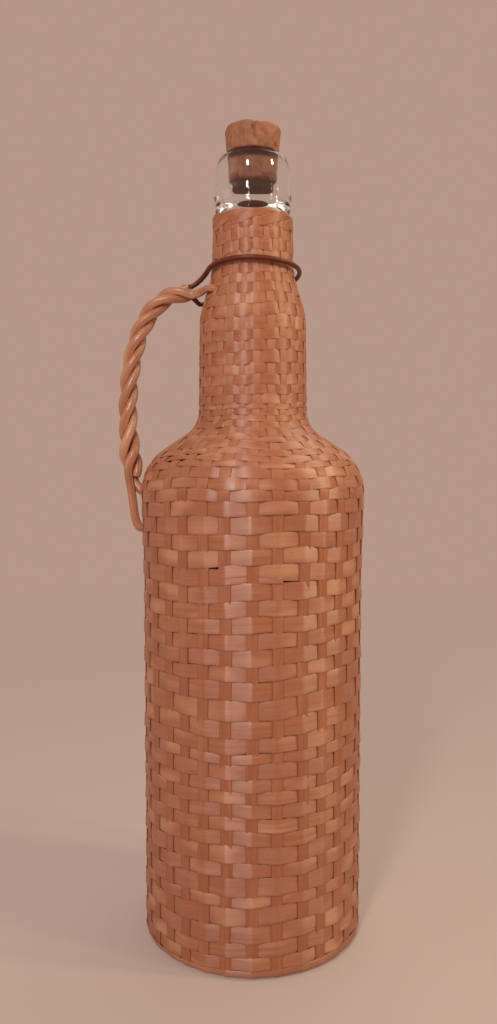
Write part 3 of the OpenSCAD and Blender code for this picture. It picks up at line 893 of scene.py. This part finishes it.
f, lay, colour, rough, relief = splitWood(
    "splint_willow",
    {"light": (177, 113, 76), "mid": (154, 87, 51), "warm": (156, 89, 42), "rose": (158, 91, 64), "pale": (202, 145, 107),
     "dark": (102, 48, 26)},
    {"run": 60, "fine": 20, "coarse": 5, "patch": 75, "relief": 0.3},
    {"rough": 0.46, "specular": 0.9, "coat": 0.0, "dull": 0.1})
f.skin.inputs["IOR"].default_value = 1.62
f.skin.inputs["Anisotropic"].default_value = 0.9
f.skin.inputs["Anisotropic Rotation"].default_value = 0.25
splintFinish = f.wear(Base_Color=colour, Roughness=rough, Normal=relief)

f, lay, colour, rough, relief = splitWood(
    "stake_willow",
    {"light": (172, 108, 74), "mid": (154, 90, 60), "warm": (158, 94, 54), "rose": (154, 88, 66), "pale": (178, 118, 86),
     "dark": (104, 52, 32)},
    {"run": 60, "fine": 14, "coarse": 5, "patch": 40, "relief": 0.4},
    {"rough": 0.48, "specular": 0.4, "coat": 0.05, "dull": 0.08})
# painted light: above the shoulder the stakes are mixed halfway to a paler tone, standing in for the light they catch
# where they stand proud on the neck
height = f.split(f.node("ShaderNodeTexCoord", None, None, 3), 2)
pale = f.ramp((height - 0.166) / 0.02, (0, 0), (1, 1))
light = f.mix(f.noise(f.scaled(lay, 90, 10, 0), 1, 3, 0.5), (160, 102, 74), (200, 146, 114))
stakeFinish = f.wear(Base_Color=f.mix(pale * 0.5, colour, light), Roughness=rough, Normal=relief)

f, lay, colour, rough, relief = splitWood(
    "rope_cane",
    {"light": (204, 146, 108), "mid": (168, 106, 72), "warm": (160, 96, 54), "rose": (164, 100, 74), "pale": (214, 160, 122),
     "dark": (82, 38, 20)},
    {"run": 50, "fine": 30, "coarse": 12, "patch": 60, "relief": 0.7},
    {"rough": 0.36, "specular": 0.8, "coat": 0.3, "dull": 0.0})
caneFinish = f.wear(Base_Color=colour, Roughness=rough, Normal=relief)

# the neck cane's own dark brown is made darker still as painted shade, standing in for its shaded underside and the
# shadow beneath it on the weave
f, lay, colour, rough, relief = splitWood(
    "dark_cane",
    {"light": (116, 50, 26), "mid": (84, 32, 15), "warm": (96, 40, 18), "rose": (84, 34, 20), "pale": (124, 64, 36),
     "dark": (44, 14, 8)},
    {"run": 60, "fine": 24, "coarse": 8, "patch": 60, "relief": 0.35},
    {"rough": 0.4, "specular": 0.3, "coat": 0.0, "dull": 0.0})
shadedDarkCaneFinish = f.wear(Base_Color=colour, Roughness=rough, Normal=relief)

f = Finish("cork_bark", Specular_IOR_Level=0.25)
spot = f.node("ShaderNodeTexCoord", None, None, 3)
up = f.split(spot, 2)
cloud = f.noise(spot, 160, 4, 0.6)
speck = f.noise(f.scaled(spot, 1, 1, 0.45), 900, 3, 0.6)
wide = f.noise(f.scaled(spot, 1, 1, 0.7), 330, 2, 0.5)
colour = f.mix(f.ramp(cloud, (0.35, 0), (0.66, 1)), (144, 96, 72), (170, 118, 88))
colour = f.mix(f.ramp(wide, (0.52, 0), (0.66, 1)) * 0.55, colour, (138, 82, 46))
colour = f.mix(f.ramp(speck, (0.60, 0), (0.68, 1)) * 0.7, colour, (92, 54, 38))
wine = f.ramp(f.noise(spot, 170, 3, 0.6) + (0.2815 - up) * 60, (0.52, 0), (0.62, 1))
colour = f.mix(wine * 0.6, colour, (112, 66, 48))
stainEdge = (up - 0.2790) / 0.0010 + (f.noise(spot, 210, 3, 0.6) - 0.5) * 1.6
colour = f.mix(f.ramp(stainEdge, (0, 1), (1, 0)) * 0.9, colour, (118, 58, 36))
# painted shade: a near-black ring on the cork where it enters the lip, standing in for the shadow in the groove between
# cork and glass
lipGrooveShade = f.ramp(abs(up - 0.2888) / 0.0024, (0.7, 1), (1, 0))
colour = f.mix(lipGrooveShade * 0.97, colour, (72, 20, 8))
corkFinish = f.wear(Base_Color=colour, Roughness=f.ramp(cloud, (0.3, 0.62), (0.7, 0.8)),
                    Normal=f.bump(speck + cloud * 0.6, 0.4, 0.0003))

clear = Finish("clear_glass", Base_Color=(0.97, 0.985, 0.975, 1), Roughness=0.015, IOR=1.5, Transmission_Weight=1.0)
glassFinish = clear.material


def dress(pieces, finish):
    for piece in pieces:
        piece.data.materials.clear()
        piece.data.materials.append(finish)


dress(splints + borderPieces + hubPieces, splintFinish)
dress(stakes, stakeFinish)
dress(strandPieces, caneFinish)
dress([neckCane], shadedDarkCaneFinish)
dress([bottle], glassFinish)
dress([cork], corkFinish)
for piece in splints + borderPieces + hubPieces + stakes + strandPieces + [neckCane, bottle]:
    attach(piece, "flask")
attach(cork, "stopper")
print("finishes are on")


# Studio: a pale sheet that curves up behind, and soft lamps

studio = {
    "paper": (182, 151, 136), "floor": (196, 178, 170), "soft": 0.38,
    "lamps": {
        "window": {"azimuth": -17, "height": 0.475, "distance": 0.6, "size": (0.08, 0.05), "power": 1.65, "tint": (1.0, 0.87, 0.82)},
        "window_top": {"azimuth": -17, "height": 0.78, "distance": 0.85, "size": (0.1, 0.08), "power": 1.6, "tint": (1.0, 0.87, 0.82)},
        "bulb": {"azimuth": 78, "height": 0.46, "distance": 0.6, "size": (0.06, 0.05), "power": 1.35, "tint": (1.0, 0.82, 0.52)},
        "bulb_top": {"azimuth": 64, "height": 0.78, "distance": 0.85, "size": (0.1, 0.08), "power": 1.65, "tint": (1.0, 0.82, 0.52)},
        "side": {"azimuth": -80, "height": 0.26, "distance": 0.85, "size": (0.5, 0.4), "power": 0.5, "tint": (1.0, 0.76, 0.68)},
        "back": {"azimuth": 160, "height": 1.9, "distance": 1.2, "size": (2.0, 1.6), "power": 14.0, "tint": (1.0, 0.9, 0.82)},
    },
}

clearSelection()
bpy.ops.mesh.primitive_plane_add(size=6, location=(0, 0, -0.0002))
paper = bpy.context.object
paper.name = "studio_paper"
bpy.ops.object.transform_apply(location=True, rotation=True, scale=True)
bpy.ops.object.mode_set(mode="EDIT")
bpy.ops.mesh.select_all(action="DESELECT")
bpy.ops.object.mode_set(mode="OBJECT")
for edge in paper.data.edges:
    edge.select = all(paper.data.vertices[v].co.y > 2.9 for v in edge.vertices)
bpy.ops.object.mode_set(mode="EDIT")
bpy.ops.mesh.select_mode(type="EDGE")
bpy.ops.mesh.extrude_region_move(TRANSFORM_OT_translate={"value": (0, 0, 4)})
bpy.ops.mesh.select_all(action="DESELECT")
bpy.ops.object.mode_set(mode="OBJECT")
for edge in paper.data.edges:
    edge.select = all(paper.data.vertices[v].co.y > 2.9 and paper.data.vertices[v].co.z < 0.1 for v in edge.vertices)
bpy.ops.object.mode_set(mode="EDIT")
bpy.ops.mesh.bevel(offset=1.5, segments=24, affect="EDGES")
bpy.ops.object.mode_set(mode="OBJECT")
bpy.ops.object.shade_smooth()
f = Finish("studio_paper", Roughness=0.9, Specular_IOR_Level=0.1, Base_Color=linear(studio["floor"]))
seen = f.node("ShaderNodeLightPath")
mirrored = f.node("ShaderNodeLightPath", None, None, 3)
through = f.node("ShaderNodeLightPath", None, None, 6)
far = f.node("ShaderNodeVectorMath", {"operation": "LENGTH"}, {0: f.node("ShaderNodeTexCoord", None, None, 3)}, 1)
away = f.ramp(far / 0.9, (0.1, 0.35), (1, 1))
glow = f.node("ShaderNodeEmission", None, {"Color": linear(studio["paper"]), "Strength": 1.0})
share = (seen + mirrored + through) * away
blend = f.node("ShaderNodeMixShader", None, {0: share, 1: Field(f.tree, f.skin.outputs[0]), 2: glow})
f.tree.links.new(blend.socket, f.tree.nodes["Material Output"].inputs["Surface"])
paper.data.materials.append(f.material)

world = bpy.data.worlds.new("studio_light")
scene.world = world
world.use_nodes = True
sky = world.node_tree
path = sky.nodes.new("ShaderNodeLightPath")
plain = sky.nodes["Background"]
plain.inputs["Color"].default_value = (1, 0.92, 0.85, 1)
plain.inputs["Strength"].default_value = studio["soft"]
shown = sky.nodes.new("ShaderNodeBackground")
shown.inputs["Color"].default_value = linear(studio["paper"])
mixed = sky.nodes.new("ShaderNodeMixShader")
total = Field(sky, path.outputs[0]) + Field(sky, path.outputs[3]) + Field(sky, path.outputs[6])
sky.links.new(total.socket, mixed.inputs[0])
sky.links.new(plain.outputs[0], mixed.inputs[1])
sky.links.new(shown.outputs[0], mixed.inputs[2])
sky.links.new(mixed.outputs[0], sky.nodes["World Output"].inputs["Surface"])

for name, lamp in studio["lamps"].items():
    a = math.radians(lamp["azimuth"] - 90)
    at = Vector((lamp["distance"] * math.cos(a), lamp["distance"] * math.sin(a), lamp["height"]))
    aim = (Vector((0, 0, 0.16)) - at).to_track_quat("-Z", "Y").to_euler()
    clearSelection()
    bpy.ops.object.light_add(type="AREA", location=at, rotation=aim)
    light = bpy.context.object
    light.name = name + "_lamp"
    light.data.shape = "RECTANGLE"
    light.data.size, light.data.size_y = lamp["size"]
    light.data.energy = lamp["power"]
    light.data.color = lamp["tint"]
scene.view_settings.view_transform = "Standard"
print("studio is lit")
